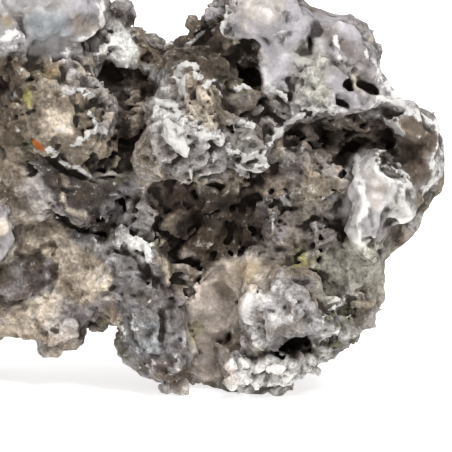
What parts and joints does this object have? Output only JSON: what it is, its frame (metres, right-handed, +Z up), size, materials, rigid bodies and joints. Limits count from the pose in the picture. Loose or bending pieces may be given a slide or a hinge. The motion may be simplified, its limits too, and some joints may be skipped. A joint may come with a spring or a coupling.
{
  "type": "viewing stone",
  "caption": "Craggy, water-worn grey limestone with caves, ledges and an arch, standing on its own worn feet as a table display.",
  "frame": {"origin": "on the surface that the feet stand on, under the middle of the stone's box", "axes": "+Z up, +X to the right along the stone's length, -Y towards the front face"},
  "size_m": [0.266, 0.1516, 0.193],
  "materials": {
    "limestone": "weathered rough stone, grey-brown with pale lime crust and smooth lilac-grey skin"
  },
  "bodies": {
    "root": {"stone": "limestone"}
  },
  "joints": []
}
